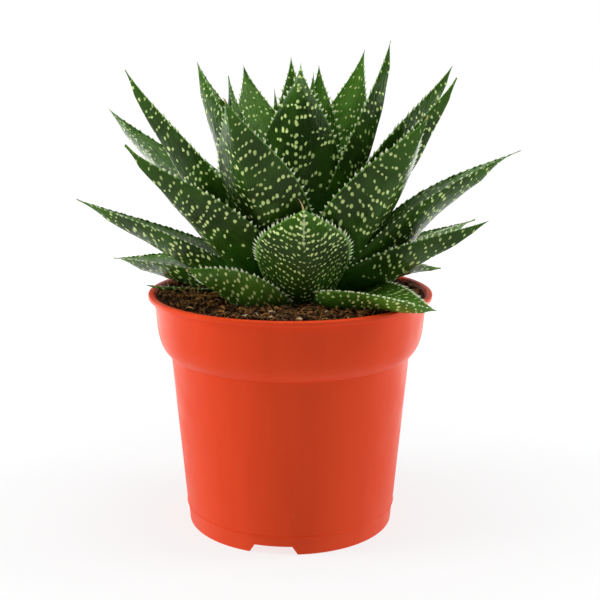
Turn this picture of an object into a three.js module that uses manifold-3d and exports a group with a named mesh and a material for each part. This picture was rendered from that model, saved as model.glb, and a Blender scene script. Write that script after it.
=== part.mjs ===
// A potted gasteria-type succulent: a rosette of thick, toothed, channelled leaves on a short stem,
// rooted in soil in a 12 cm plastic nursery pot. Millimetres, +Z up.
// The origin is on the pot's axis, in the plane of the foot that it stands on.
// The plant faces -Y: an azimuth of 0 points to -Y, and +90 to +X.
import * as THREE from 'three';
import { mergeVertices } from 'three/addons/utils/BufferGeometryUtils.js';
import Module from 'manifold-3d';

const wasm = await Module();
wasm.setup();

// Pot
const RIM_RADIUS = 60;
const POT_HEIGHT = 100.5;
const BEAD_HEIGHT = 1.8;
const BEAD_ROUND = 0.6;
const LIP_ROUND = 0.6;
const LIP_FLARE = 1;
const LIP_FLARE_DEPTH = 1.2;
const COLLAR_TOP_RADIUS = 57.6;
const COLLAR_FOOT_RADIUS = 56;
const COLLAR_FOOT_HEIGHT = 82.2;
const BODY_TOP_RADIUS = 50.9;
const BODY_TOP_HEIGHT = 74.8;
const STEP_RADIUS = 45.3;
const STEP_HEIGHT = 8;
const STEP_DEPTH = 0.5;
const FOOT_RADIUS = 44.2;
const WALL = 1;
const SHOULDER_RISE = 0.6;
const SHOULDER_STEPS = 3;
const FOOT_RING_WIDTH = 2.4;
const FLOOR_HEIGHT = 5;
const POT_SIDES = 48;
const NOTCH_AZIMUTHS = [-9, 111, -129];
const NOTCH_BOTTOM_WIDTH = 20;
const NOTCH_TOP_WIDTH = 15.5;
const NOTCH_HEIGHT = 3.6;
const NOTCH_DEPTH = 9;
const OVERCUT = 3;
const DRAIN_HOLES = 6;
const DRAIN_RADIUS = 4;
const DRAIN_CIRCLE = 29;
const DRAIN_SIDES = 12;

// Soil and stem
const SOIL_HEIGHT = 99.2;
const SOIL_DOME = 0.6;
const SOIL_LUMP = 0.4;
const SOIL_SHY = 0.6;
const SOIL_RINGS = [0.86, 0.7, 0.5, 0.3];
// The stem and the leaves are measured from a point on the stem's axis, a little under the soil's top.
const STEM_X = 4.5;
const CROWN_HEIGHT = 97;
const STEM_PROFILE = [[3, -26], [7, -14], [9.5, -4], [9.5, 4], [7.5, 12], [5, 20], [2.5, 27]];
const STEM_SIDES = 12;
const ROOTS = 6;
const ROOT_LENGTH = 30;
const ROOT_RADIUS = 2.2;
const ROOT_TIP_RADIUS = 0.8;
const ROOT_SIDES = 6;
const ROOT_SLANTS = [-38, -47];
const ROOT_STARTS = [-8, -13];
const GAP = 0.4;

// Leaves. Where a leaf leaves the stem: distance from the stem's axis and height above the crown.
const TIERS = [[12.5, 1], [11, 6], [9.5, 11], [8, 16], [6, 20], [4, 24]];
const STATIONS = [0, 0.12, 0.25, 0.4, 0.55, 0.7, 0.84, 0.94];
const QUARTER = 0.62;
const TOOTH_LENGTH = 1.4;
const TOOTH_ROOT = 1.3;
const TOOTH_LEAN = 0.3;
const TOOTH_PITCH = 7.4;
const MARGIN_ROOM = 1.8;
const TEETH_START = 0.14;
const TEETH_END = 0.93;
// How a leaf's section changes along it: its channel is deepest at the foot and shallow at the tip,
// the foot is narrower and thinner than the shoulder, and the belly is a full round at the foot that
// turns into a keel further out.
const CHANNEL_FOOT = 1.25;
const CHANNEL_FALL = 0.9;
const FOOT_NARROWING = 0.35;
const FOOT_THINNESS = 0.5;
const TIP_THINNING = 0.55;
const THICKEST = 1.15;
const BELLY_ROUND = 2.2;
const BELLY_FULL = 0.65;
const KEEL = 0.7;
const KEEL_START = 0.2;
const KEEL_END = 0.7;
// A plain leaf: sideways bend, turn of its seat round the stem, how far the seat is sunk, thickness,
// depth of the channel, where it is widest, how blunt and how drawn out the tip is, and the share
// of the roll that its foot has.
const PLAIN = {
  sway: 0, swing: 0, sunk: 0, thick: 8.5, channel: 0.32, shoulder: 0.35, blunt: 1, point: 0.75, seat: 0.3,
};
// From the innermost to the outermost: azimuth, reach of the tip from the stem's axis, its height
// above the crown, tier, width, upward bow, roll, and what differs from a plain leaf.
const LEAVES = [
  [-90, 11, 87.5, 5, 12, 0, 30],
  [15, 10, 76, 5, 16, -6, 0],
  [160, 15.5, 94, 5, 14, 0, 0],
  [-10, 1, 98, 4, 34, -14, 0, { shoulder: 0.4, point: 0.95, sway: 1 }],
  [160, 22.5, 97, 4, 26, -3, 0, { sway: -3 }],
  [-172, 30, 100.5, 4, 24, -4, 0],
  [110, 30, 80, 3, 26, -6, 0],
  [85, 36, 106.5, 4, 27, -5, -15, { shoulder: 0.3 }],
  [-120, 35.5, 92.5, 3, 20, -6, 0, { shoulder: 0.3 }],
  [140, 43.5, 103.5, 3, 37, -2, 0, { shoulder: 0.3, sway: 1 }],
  [-150, 51, 97, 3, 38, 0, 0, { shoulder: 0.3, sway: 1 }],
  [-108, 46, 98.5, 3, 30, -1, 8, { shoulder: 0.3, thick: 12, channel: 0.85 }],
  [95, 62.5, 96.5, 3, 37, -1, -30, { shoulder: 0.3 }],
  [-80, 71, 95, 2, 31, -5, 18, { shoulder: 0.3 }],
  [-30, 57, 85, 2, 36, 0, 5, { shoulder: 0.4, sway: -2 }],
  [76, 63, 92, 2, 32, -2.5, -20, { shoulder: 0.3 }],
  [-100, 83, 79, 2, 32, 0.5, -10, { shoulder: 0.3, thick: 11 }],
  [48, 63.5, 78.5, 1, 38, 0, -10, { shoulder: 0.4 }],
  [126, 56, 60, 1, 34, 2, 0],
  [157, 58, 66, 1, 34, 2, 0],
  [-163, 58, 64, 1, 34, 2, 0],
  [-128, 54, 56, 1, 34, 2, 0],
  [-58, 78.5, 67.5, 1, 36, 0, 12, { point: 1 }],
  [78, 89, 63.7, 1, 34, 21.5, 8, { shoulder: 0.3, sunk: 17, point: 1, thick: 12.5 }],
  [-93, 95, 41.5, 1, 30, 5, 6, { shoulder: 0.2, thick: 10.5, sunk: 5 }],
  [106, 80, 30.5, 1, 28, 3, -10, { shoulder: 0.25 }],
  [1, 38, 43, 0, 37, -16, 0, { shoulder: 0.64, blunt: 0.32, point: 1 }],
  [175, 60, 30, 0, 32, 2, 0],
  [-142, 72, 24, 0, 32, 3, 0],
  [140, 72, 20, 0, 32, 2, 0],
  [70, 79, 37, 0, 30, 2, -20, { shoulder: 0.25, thick: 8 }],
  [-50, 58, 19.5, 0, 30, 2, 40, {
    swing: 45, sunk: 5.5, channel: 0.2, seat: -0.5, thick: 12, point: 0.45, shoulder: 0.4,
  }],
  [42, 75, 7, 0, 32, 8, -10, { swing: -17, sunk: 1.5, thick: 10, seat: -0.5 }],
  [-104, 85, 13.5, 0, 32, 8, -6, { shoulder: 0.25, thick: 12.5 }],
  [112, 68, 8, 0, 26, 9, -15, { shoulder: 0.25, thick: 6 }],
  [-92, 66, 5, 0, 14, -1, 10, { shoulder: 0.25, thick: 5 }],
];

const plastic = new THREE.MeshStandardMaterial({ color: 0xd9482b, roughness: 0.45, metalness: 0 });
const earth = new THREE.MeshStandardMaterial({ color: 0x3d2a1e, roughness: 1, metalness: 0 });
const stemSkin = new THREE.MeshStandardMaterial({ color: 0x8a7a4f, roughness: 0.9, metalness: 0 });
const leafSkin = new THREE.MeshStandardMaterial({ color: 0x2f5a26, roughness: 0.4, metalness: 0 });

const radians = THREE.MathUtils.degToRad;

// A closed geometry as a solid that can be cut and joined.
function solid(geometry) {
  const bare = geometry.clone();
  bare.deleteAttribute('normal');
  bare.deleteAttribute('uv');
  const merged = mergeVertices(bare, 1e-4);
  const vertProperties = new Float32Array(merged.attributes.position.array);
  const triVerts = new Uint32Array(merged.index.array);
  return new wasm.Manifold(new wasm.Mesh({ numProp: 3, vertProperties, triVerts }));
}

// The largest body of a solid as a geometry.
function geometryOf(manifold) {
  const bodies = manifold.decompose().sort((a, b) => b.volume() - a.volume());
  const mesh = bodies[0].getMesh();
  const geometry = new THREE.BufferGeometry();
  geometry.setAttribute('position', new THREE.BufferAttribute(mesh.vertProperties, 3));
  geometry.setIndex(new THREE.BufferAttribute(mesh.triVerts, 1));
  return geometry;
}

function lathe(profile, sides) {
  const points = profile.map(([radius, height]) => new THREE.Vector2(radius, height));
  return new THREE.LatheGeometry(points, sides).rotateX(Math.PI / 2);
}

function outward(azimuth) {
  return new THREE.Vector3(Math.sin(azimuth), -Math.cos(azimuth), 0);
}

// Points of a quarter turn from one profile point to another, both ends left out.
function roundedCorner(from, to, steps) {
  const points = [];
  for (let i = 1; i < steps; i += 1) {
    const turn = (Math.PI / 2) * (i / steps);
    points.push([
      from[0] + (to[0] - from[0]) * (1 - Math.cos(turn)),
      from[1] + (to[1] - from[1]) * Math.sin(turn),
    ]);
  }
  return points;
}

function makePot() {
  const floorTop = FLOOR_HEIGHT + WALL;
  const shoulderTop = [COLLAR_FOOT_RADIUS, COLLAR_FOOT_HEIGHT];
  const shoulderFoot = [BODY_TOP_RADIUS, BODY_TOP_HEIGHT];
  const inner = ([radius, height]) => [radius - WALL, height + WALL * SHOULDER_RISE];
  const bend = roundedCorner(shoulderTop, shoulderFoot, SHOULDER_STEPS);
  const shoulder = [shoulderTop, ...bend, shoulderFoot];
  const beadFoot = POT_HEIGHT - BEAD_HEIGHT;
  const profile = [
    [0, FLOOR_HEIGHT],
    [FOOT_RADIUS - FOOT_RING_WIDTH, FLOOR_HEIGHT],
    [FOOT_RADIUS - FOOT_RING_WIDTH, 0],
    [FOOT_RADIUS, 0],
    [STEP_RADIUS - STEP_DEPTH, STEP_HEIGHT],
    [STEP_RADIUS, STEP_HEIGHT + STEP_DEPTH],
    ...shoulder.toReversed(),
    [COLLAR_TOP_RADIUS, beadFoot - LIP_ROUND],
    [RIM_RADIUS - LIP_ROUND, beadFoot],
    [RIM_RADIUS, beadFoot + BEAD_ROUND],
    [RIM_RADIUS, POT_HEIGHT - BEAD_ROUND],
    [RIM_RADIUS - BEAD_ROUND, POT_HEIGHT],
    [COLLAR_TOP_RADIUS - WALL + LIP_FLARE, POT_HEIGHT],
    [COLLAR_TOP_RADIUS - WALL, POT_HEIGHT - LIP_FLARE_DEPTH],
    ...shoulder.map(inner),
    [STEP_RADIUS - WALL, STEP_HEIGHT + STEP_DEPTH],
    [FOOT_RADIUS - FOOT_RING_WIDTH, floorTop],
    [0, floorTop],
  ];
  let pot = solid(lathe(profile, POT_SIDES));
  for (const azimuth of NOTCH_AZIMUTHS) {
    const outline = new THREE.Shape([
      new THREE.Vector2(-NOTCH_BOTTOM_WIDTH / 2, -LIP_ROUND),
      new THREE.Vector2(NOTCH_BOTTOM_WIDTH / 2, -LIP_ROUND),
      new THREE.Vector2(NOTCH_TOP_WIDTH / 2, NOTCH_HEIGHT),
      new THREE.Vector2(-NOTCH_TOP_WIDTH / 2, NOTCH_HEIGHT),
    ]);
    const depth = NOTCH_DEPTH + OVERCUT;
    const notch = new THREE.ExtrudeGeometry(outline, { depth, bevelEnabled: false });
    notch.rotateX(Math.PI / 2).translate(0, NOTCH_DEPTH - FOOT_RADIUS, 0).rotateZ(radians(azimuth));
    pot = pot.subtract(solid(notch));
  }
  for (let i = 0; i < DRAIN_HOLES; i += 1) {
    const centre = outward((2 * Math.PI * i) / DRAIN_HOLES).multiplyScalar(DRAIN_CIRCLE);
    const deep = WALL + 2 * OVERCUT;
    const hole = new THREE.CylinderGeometry(DRAIN_RADIUS, DRAIN_RADIUS, deep, DRAIN_SIDES);
    hole.rotateX(Math.PI / 2).translate(centre.x, centre.y, FLOOR_HEIGHT + WALL / 2);
    pot = pot.subtract(solid(hole));
  }
  return geometryOf(pot);
}

// The stem tapers down into a rootstock, with a ring of slanting roots fused to it.
function makeStem(grow) {
  const profile = STEM_PROFILE.map(([radius, height]) => [radius + grow, height]);
  profile[0][1] -= grow;
  profile[profile.length - 1][1] += grow;
  profile.unshift([0, profile[0][1]]);
  profile.push([0, profile[profile.length - 1][1]]);
  let stem = solid(lathe(profile, STEM_SIDES));
  for (let i = 0; i < ROOTS; i += 1) {
    const tipRadius = ROOT_TIP_RADIUS + grow;
    const length = ROOT_LENGTH + grow;
    const root = new THREE.CylinderGeometry(ROOT_RADIUS + grow, tipRadius, length, ROOT_SIDES);
    root.translate(0, -ROOT_LENGTH / 2, 0).rotateX(Math.PI / 2);
    root.rotateX(radians(ROOT_SLANTS[i % 2])).translate(0, 0, ROOT_STARTS[i % 2]);
    stem = stem.add(solid(root.rotateZ((2 * Math.PI * i) / ROOTS)));
  }
  return stem.translate([STEM_X, 0, CROWN_HEIGHT]);
}

function soilTop(x, y) {
  const radius = Math.hypot(x, y) / (COLLAR_TOP_RADIUS - WALL);
  const lump = Math.sin(x * 0.31 + 1) * Math.cos(y * 0.27) + 0.6 * Math.sin(x * 0.12 - y * 0.42);
  return SOIL_HEIGHT + SOIL_DOME * (1 - radius * radius) + SOIL_LUMP * lump;
}

// The soil fills the pot to just under the rim, with a lumpy top.
function makeSoil() {
  const shoulderTop = [COLLAR_FOOT_RADIUS - WALL - GAP, COLLAR_FOOT_HEIGHT + WALL];
  const shoulderFoot = [BODY_TOP_RADIUS - WALL - GAP, BODY_TOP_HEIGHT + WALL * SHOULDER_RISE];
  const topRadius = COLLAR_TOP_RADIUS - WALL - SOIL_SHY - GAP / 2;
  const profile = [
    [0, FLOOR_HEIGHT + WALL + GAP],
    [FOOT_RADIUS - FOOT_RING_WIDTH - SOIL_SHY, FLOOR_HEIGHT + WALL + GAP],
    shoulderFoot,
    shoulderTop,
    [topRadius, SOIL_HEIGHT],
    ...SOIL_RINGS.map((ring) => [topRadius * ring, SOIL_HEIGHT]),
    [0, SOIL_HEIGHT],
  ];
  const geometry = lathe(profile, POT_SIDES);
  const place = geometry.attributes.position;
  for (let i = 0; i < place.count; i += 1) {
    if (Math.abs(place.getZ(i) - SOIL_HEIGHT) < 0.01) {
      place.setZ(i, soilTop(place.getX(i), place.getY(i)));
    }
  }
  return solid(geometry);
}

// How wide a leaf is at a share of its length, next to its greatest width.
function widthAt(leaf, share) {
  const past = Math.max(0, (share - leaf.shoulder) / (1 - leaf.shoulder));
  const before = Math.max(0, (leaf.shoulder - share) / leaf.shoulder);
  const taper = (1 - past * past) ** leaf.blunt * (1 - leaf.point * past ** 3);
  return taper * (1 - FOOT_NARROWING * before ** 1.5);
}

function thicknessAt(leaf, share) {
  const swell = FOOT_THINNESS + (1 - FOOT_THINNESS) * Math.min(1, share / 0.2) ** 0.8;
  const most = THICKEST * (leaf.width / 2) * widthAt(leaf, share);
  return Math.min(leaf.thick * swell * (1 - share) ** TIP_THINNING, most);
}

// The leaf's midline runs from the stem to the tip; each station across it has its own frame.
function stationFrame(leaf, share) {
  const centre = leaf.curve.getPoint(share);
  const along = leaf.curve.getTangent(share);
  const flat = leaf.side.clone().addScaledVector(along, -leaf.side.dot(along)).normalize();
  const rise = along.clone().cross(flat);
  const roll = radians(leaf.roll) * (leaf.seat + (1 - leaf.seat) * share);
  const across = flat.clone().multiplyScalar(Math.cos(roll)).addScaledVector(rise, Math.sin(roll));
  return { centre, across, up: along.clone().cross(across) };
}

// A point of a leaf's section: across is -1 to 1 from margin to margin.
function sectionPoint(leaf, share, across, under, grow, past = 0) {
  const frame = stationFrame(leaf, share);
  const half = (leaf.width / 2) * widthAt(leaf, share);
  const slope = leaf.channel * (CHANNEL_FOOT - CHANNEL_FALL * share);
  const channel = slope * (half * across * across + past + (past > 0 ? grow : 0));
  const full = (1 - Math.abs(across) ** BELLY_ROUND) ** BELLY_FULL;
  const keel = KEEL * THREE.MathUtils.clamp((share - KEEL_START) / (KEEL_END - KEEL_START), 0, 1);
  const belly = (1 - keel) * full + keel * (1 - Math.abs(across));
  const body = under ? thicknessAt(leaf, share) * belly : 0;
  const spread = across * half + Math.sign(across) * (past + grow);
  const lift = channel - body + (under ? -grow : grow);
  return frame.centre.addScaledVector(frame.across, spread).addScaledVector(frame.up, lift);
}

// Joins two lines of points that run along a leaf with a strip of triangles.
function zip(first, second, triangles) {
  let i = 0;
  let k = 0;
  while (i < first.length - 1 || k < second.length - 1) {
    const stepFirst = k === second.length - 1
      || (i < first.length - 1 && first[i + 1].share <= second[k + 1].share);
    const next = stepFirst ? first[i + 1] : second[k + 1];
    const corners = [first[i].index, second[k].index, next.index];
    if (new Set(corners).size === 3) {
      triangles.push(...corners);
    }
    i += stepFirst ? 1 : 0;
    k += stepFirst ? 0 : 1;
  }
}

// A leaf as a closed solid. With no growth its margins have teeth; grown, it has blunt plain
// margins and is the room that the leaf needs.
function leafSolid(leaf, grow) {
  const vertices = [];
  const add = (share, point) => ({ share, index: vertices.push(point) - 1 });
  const tipFrame = stationFrame(leaf, 1);
  const tipPoint = tipFrame.centre.addScaledVector(leaf.curve.getTangent(1), grow);
  const tip = add(1, tipPoint);
  const line = (across, under, shares, past = () => 0) => [
    ...shares.map((share, i) => add(share, sectionPoint(leaf, share, across, under, grow, past(i)))),
    tip,
  ];
  const centre = line(0, false, STATIONS);
  const leftQuarter = line(-QUARTER, true, STATIONS);
  const keel = line(0, true, STATIONS);
  const rightQuarter = line(QUARTER, true, STATIONS);
  let lines;
  if (grow > 0) {
    const past = () => MARGIN_ROOM;
    const margin = (across, under) => line(across, under, STATIONS, past);
    lines = [margin(1, false), centre, margin(-1, false), margin(-1, true), leftQuarter, keel,
      rightQuarter, margin(1, true)];
  } else {
    const length = leaf.curve.getLength();
    const teeth = Math.round(((TEETH_END - TEETH_START) * length) / TOOTH_PITCH);
    const shares = [0];
    const reach = [0];
    for (let i = 0; i < teeth; i += 1) {
      const middle = TEETH_START + ((TEETH_END - TEETH_START) * (i + 0.5)) / teeth;
      const root = TOOTH_ROOT / length;
      shares.push(middle - root, middle + root * TOOTH_LEAN, middle + root);
      reach.push(0, TOOTH_LENGTH, 0);
    }
    const margin = (across) => line(across, false, shares, (i) => reach[i]);
    lines = [margin(1), centre, margin(-1), leftQuarter, keel, rightQuarter];
  }
  const triangles = [];
  lines.forEach((points, i) => zip(points, lines[(i + 1) % lines.length], triangles));
  for (let i = 2; i < lines.length; i += 1) {
    triangles.push(centre[0].index, lines[(i + 1) % lines.length][0].index, lines[i][0].index);
  }
  const geometry = new THREE.BufferGeometry().setFromPoints(vertices);
  geometry.setIndex(triangles);
  return solid(geometry);
}

function readLeaf([azimuth, reach, height, tier, width, bow, roll, more = {}]) {
  const leaf = { ...PLAIN, width, roll, ...more };
  const [seatRadius, seatHeight] = TIERS[tier];
  const away = outward(radians(azimuth));
  const start = outward(radians(azimuth + leaf.swing));
  const up = new THREE.Vector3(0, 0, 1);
  const axis = new THREE.Vector3(STEM_X, 0, CROWN_HEIGHT);
  const seat = axis.clone().addScaledVector(start, seatRadius);
  seat.addScaledVector(up, seatHeight - leaf.sunk);
  const tip = axis.clone().addScaledVector(away, reach).addScaledVector(up, height);
  leaf.side = new THREE.Vector3(Math.cos(radians(azimuth)), Math.sin(radians(azimuth)), 0);
  const chord = tip.clone().sub(seat).normalize();
  const square = leaf.side.clone().cross(chord).negate();
  const middle = seat.clone().add(tip).multiplyScalar(0.5);
  middle.addScaledVector(square, bow).addScaledVector(leaf.side, leaf.sway);
  leaf.curve = new THREE.QuadraticBezierCurve3(seat, middle, tip);
  return leaf;
}

function mesh(name, geometry, material) {
  const piece = new THREE.Mesh(geometry, material);
  piece.name = name;
  return piece;
}

const plant = new THREE.Group();
const pot = makePot();
// The room that the pot's rim takes, which leaves that lie on it are cut to.
const rimInside = COLLAR_TOP_RADIUS - WALL - SOIL_SHY;
const rimRoom = solid(lathe([
  [rimInside, COLLAR_FOOT_HEIGHT],
  [RIM_RADIUS + GAP, COLLAR_FOOT_HEIGHT],
  [RIM_RADIUS + GAP, POT_HEIGHT + GAP],
  [rimInside, POT_HEIGHT + GAP],
  [rimInside, COLLAR_FOOT_HEIGHT],
], POT_SIDES));
const stemRoom = makeStem(GAP);
let soil = makeSoil().subtract(stemRoom);
const rooms = [];
const leaves = LEAVES.map((row, i) => {
  const leaf = readLeaf(row);
  let body = leafSolid(leaf, 0).subtract(stemRoom).subtract(rimRoom);
  for (const room of rooms) {
    body = body.subtract(room);
  }
  const room = leafSolid(leaf, GAP);
  rooms.push(room);
  soil = soil.subtract(room);
  return mesh(`leaf_${String(i + 1).padStart(2, '0')}`, geometryOf(body), leafSkin);
});

plant.add(mesh('pot', pot, plastic));
plant.add(mesh('soil', geometryOf(soil), earth));
plant.add(mesh('stem_and_roots', geometryOf(makeStem(0)), stemSkin));
plant.add(...leaves);

export default plant;
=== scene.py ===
"""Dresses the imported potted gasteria: fine leaves with teeth and spots, a moulded pot, peat soil.

Lengths are in millimetres until a mesh is made, and metres from there on. The plant faces -Y.
An azimuth of 0 points to -Y, and +90 to +X, as in the part's source.
"""

import math
import random

import bmesh
import bpy
import numpy as np
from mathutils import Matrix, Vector, noise


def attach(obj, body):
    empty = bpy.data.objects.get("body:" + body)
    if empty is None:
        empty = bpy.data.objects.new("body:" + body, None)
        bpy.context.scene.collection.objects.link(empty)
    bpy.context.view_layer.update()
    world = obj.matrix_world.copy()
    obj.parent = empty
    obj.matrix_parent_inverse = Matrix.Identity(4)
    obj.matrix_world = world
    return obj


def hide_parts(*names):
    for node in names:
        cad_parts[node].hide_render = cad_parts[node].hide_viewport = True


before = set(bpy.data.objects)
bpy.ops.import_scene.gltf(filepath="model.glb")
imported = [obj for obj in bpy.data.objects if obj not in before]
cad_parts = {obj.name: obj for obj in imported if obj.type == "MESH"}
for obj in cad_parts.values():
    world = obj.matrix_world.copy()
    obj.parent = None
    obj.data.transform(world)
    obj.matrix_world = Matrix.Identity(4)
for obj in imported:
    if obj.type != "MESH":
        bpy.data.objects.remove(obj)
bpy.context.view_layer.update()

MM = 0.001
SEED = 11

# Camera
CAMERA_PLACE = (0.0, -0.4475, 0.193)
CAMERA_PITCH = math.radians(12.23)
CAMERA_LENS = 64.5
CAMERA_SHIFT = 0.0162

# Light in metres. Softboxes: name, place, size, radiance, and whether the leaves and the pot mirror it
LIGHT_TARGET = (0, 0, 0.13)
SOFTBOXES = (
    ("left_softbox", (-0.8, -0.12, 0.32), (0.4, 0.75), 5.8, False),
    ("right_softbox", (0.8, 0.03, 0.38), (0.35, 0.85), 4.6, True),
    ("top_softbox", (0, 0, 0.95), (1.0, 0.8), 2.4, True),
)
AMBIENT = 0.11
BOUNCE = 0.85
MIRRORED_FRONT = 0.9
MIRRORED_BACK = 3.0
MIRRORED_BACK_START = 0.3
MIRRORED_WALL = 1.0
WALL_PLACE = 1.2
WALL_REACH = 1.4
FLOOR_REACH = 30
# Painted shadow on the floor round the pot: the floor's glow is lowest within the first distance from the
# axis and climbs to full by the second
FLOOR_PAINTED_SHADOW_CORE = 0.05
FLOOR_PAINTED_SHADOW_EDGE = 0.6
FLOOR_GLOW_IN_PAINTED_SHADOW = 0.77

# Pot, as in the part's source
RIM_RADIUS = 60
POT_HEIGHT = 100.5
BEAD_HEIGHT = 1.8
LIP_FLARE = 1
LIP_FLARE_DEPTH = 1.2
COLLAR_TOP_RADIUS = 57.6
COLLAR_FOOT = (56, 82.2)
BODY_TOP = (50.9, 74.8)
STEP_RADIUS = 45.3
STEP_HEIGHT = 8
STEP_DEPTH = 0.5
FOOT_RADIUS = 44.2
WALL = 1
FOOT_RING_WIDTH = 2.4
FLOOR_HEIGHT = 5
POT_SIDES = 288
PLASTIC_SHINE = 0.24
PLASTIC_SHINE_TINT = (1.0, 0.58, 0.38, 1.0)
NOTCH_AZIMUTHS = (-9, 111, -129)
NOTCH_BOTTOM_WIDTH = 20
NOTCH_TOP_WIDTH = 15.5
NOTCH_HEIGHT = 3.6
DRAIN_HOLES = 6
DRAIN_RADIUS = 4
DRAIN_CIRCLE = 29
BLOCK_FACES = ((0, 1, 2, 3), (7, 6, 5, 4), (4, 5, 1, 0), (5, 6, 2, 1), (6, 7, 3, 2), (7, 4, 0, 3))

# Soil and stem, as in the part's source
SOIL_HEIGHT = 99.2
SOIL_DOME = 0.6
SOIL_LUMP = 0.4
SOIL_RADIUS = COLLAR_TOP_RADIUS - WALL - 0.3
STEM_X = 4.5
CROWN_HEIGHT = 97
STEM_PROFILE = ((3, -26), (7, -14), (9.5, -4), (9.5, 4), (7.5, 12), (5, 20), (2.5, 27))
ROOTS = 6
ROOT_LENGTH = 30
ROOT_RADIUS = 2.2
ROOT_TIP_RADIUS = 0.8
ROOT_STEPS = 8
ROOT_SIDES = 12

# Leaves, as in the part's source. Tiers: radius and height of a seat above the crown
TIERS = ((12.5, 1), (11, 6), (9.5, 11), (8, 16), (6, 20), (4, 24))
PLAIN = dict(
    sway=0, swing=0, sunk=0, thick=8.5, channel=0.32, shoulder=0.35, blunt=1, point=0.75, seat=0.3,
)
CHANNEL_FOOT = 1.25
CHANNEL_FALL = 0.9
FOOT_NARROWING = 0.35
FOOT_THINNESS = 0.5
TIP_THINNING = 0.55
THICKEST = 1.15
BELLY_ROUND = 2.2
BELLY_FULL = 0.65
KEEL = 0.7
KEEL_START = 0.2
KEEL_END = 0.7

# Each leaf's azimuth, reach, height, tier, width, bow, roll, and what sets it apart from a plain one
LEAVES = (
    (-90, 11, 87.5, 5, 12, 0, 30, {}),
    (15, 10, 76, 5, 16, -6, 0, {}),
    (160, 15.5, 94, 5, 14, 0, 0, {}),
    (-10, 1, 98, 4, 34, -14, 0, dict(shoulder=0.4, point=0.95, sway=1)),
    (160, 22.5, 97, 4, 26, -3, 0, dict(sway=-3)),
    (-172, 30, 100.5, 4, 24, -4, 0, {}),
    (110, 30, 80, 3, 26, -6, 0, {}),
    (85, 36, 106.5, 4, 27, -5, -15, dict(shoulder=0.3)),
    (-120, 35.5, 92.5, 3, 20, -6, 0, dict(shoulder=0.3)),
    (140, 43.5, 103.5, 3, 37, -2, 0, dict(shoulder=0.3, sway=1)),
    (-150, 51, 97, 3, 38, 0, 0, dict(shoulder=0.3, sway=1)),
    (-108, 46, 98.5, 3, 30, -1, 8, dict(shoulder=0.3, thick=12, channel=0.85)),
    (95, 62.5, 96.5, 3, 37, -1, -30, dict(shoulder=0.3)),
    (-80, 71, 95, 2, 31, -5, 18, dict(shoulder=0.3)),
    (-30, 57, 85, 2, 36, 0, 5, dict(shoulder=0.4, sway=-2)),
    (76, 63, 92, 2, 32, -2.5, -20, dict(shoulder=0.3)),
    (-100, 83, 79, 2, 32, 0.5, -10, dict(shoulder=0.3, thick=11)),
    (48, 63.5, 78.5, 1, 38, 0, -10, dict(shoulder=0.4)),
    (126, 56, 60, 1, 34, 2, 0, {}),
    (157, 58, 66, 1, 34, 2, 0, {}),
    (-163, 58, 64, 1, 34, 2, 0, {}),
    (-128, 54, 56, 1, 34, 2, 0, {}),
    (-58, 78.5, 67.5, 1, 36, 0, 12, dict(point=1)),
    (78, 89, 63.7, 1, 34, 21.5, 8, dict(shoulder=0.3, sunk=17, point=1, thick=12.5)),
    (-93, 95, 41.5, 1, 30, 5, 6, dict(shoulder=0.2, thick=10.5, sunk=5)),
    (106, 80, 30.5, 1, 28, 3, -10, dict(shoulder=0.25)),
    (1, 38, 43, 0, 37, -16, 0, dict(shoulder=0.64, blunt=0.32, point=1)),
    (175, 60, 30, 0, 32, 2, 0, {}),
    (-142, 72, 24, 0, 32, 3, 0, {}),
    (140, 72, 20, 0, 32, 2, 0, {}),
    (70, 79, 37, 0, 30, 2, -20, dict(shoulder=0.25, thick=8)),
    (-50, 58, 19.5, 0, 30, 2, 40, dict(
        swing=45, sunk=5.5, channel=0.2, seat=-0.5, thick=12, point=0.45, shoulder=0.4,
    )),
    (42, 75, 7, 0, 32, 8, -10, dict(swing=-17, sunk=1.5, thick=10, seat=-0.5)),
    (-104, 85, 13.5, 0, 32, 8, -6, dict(shoulder=0.25, thick=12.5)),
    (112, 68, 8, 0, 26, 9, -15, dict(shoulder=0.25, thick=6)),
    (-92, 66, 5, 0, 14, -1, 10, dict(shoulder=0.25, thick=5)),
)

# Teeth, awns and skin, finer here than in the part's source. Keys are leaf numbers. A tooth's rings
# are height, width and lean, as shares of its length and its root
TOOTH_PITCH = 3.0
TEETH_START = 0.16
TEETH_END = 0.965
LATE_TEETH_STARTS = {27: 0.52}
FINE_PITCHES = {27: 1.45, 32: 2.0, 33: 1.9, 26: 1.9, 31: 2.4, 25: 2.5, 34: 2.3}
TOOTH_SIZES = {27: 1.3, 32: 1.2, 33: 1.2}
TOOTH_LENGTH = 1.45
TOOTH_ROOT = 1.0
TOOTH_SIDES = 5
TOOTH_FLATNESS = 0.45
TOOTH_RINGS = ((-0.3, 1.0, 0.0), (0.3, 0.55, 0.1), (0.7, 0.22, 0.3))
TOOTH_JITTER = 0.28
AWNS = {27: 4.2, 15: 2.2, 18: 1.8, 32: 1.6}
AWN_RADIUS = 0.5
KEEL_SPOT_PITCH = 3.4
KEEL_SPOT_SCATTER = 1.2
SPOT_EDGE = (-0.16, 0.3)
KEEL_SPOTTED = (4,)
FINE_SPOTTED = (27,)
MIDDLE_SPOTTED = (32, 33, 26)
SPOTTED_ABOVE = (33,)
STATIONS = 96
TOP_POINTS = 15
UNDER_POINTS = 33
TIP_CROWDING = 1.12
LAST_STATION = 0.9985
RUFFLE_HEIGHT = 0.8
RUFFLE_SIZE = 14.0
RIM_CLEARANCE = 0.25
LEAF_SHINE = 0.28
LEAF_SHINE_TINT = (0.8, 1.0, 0.6, 1.0)


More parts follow.
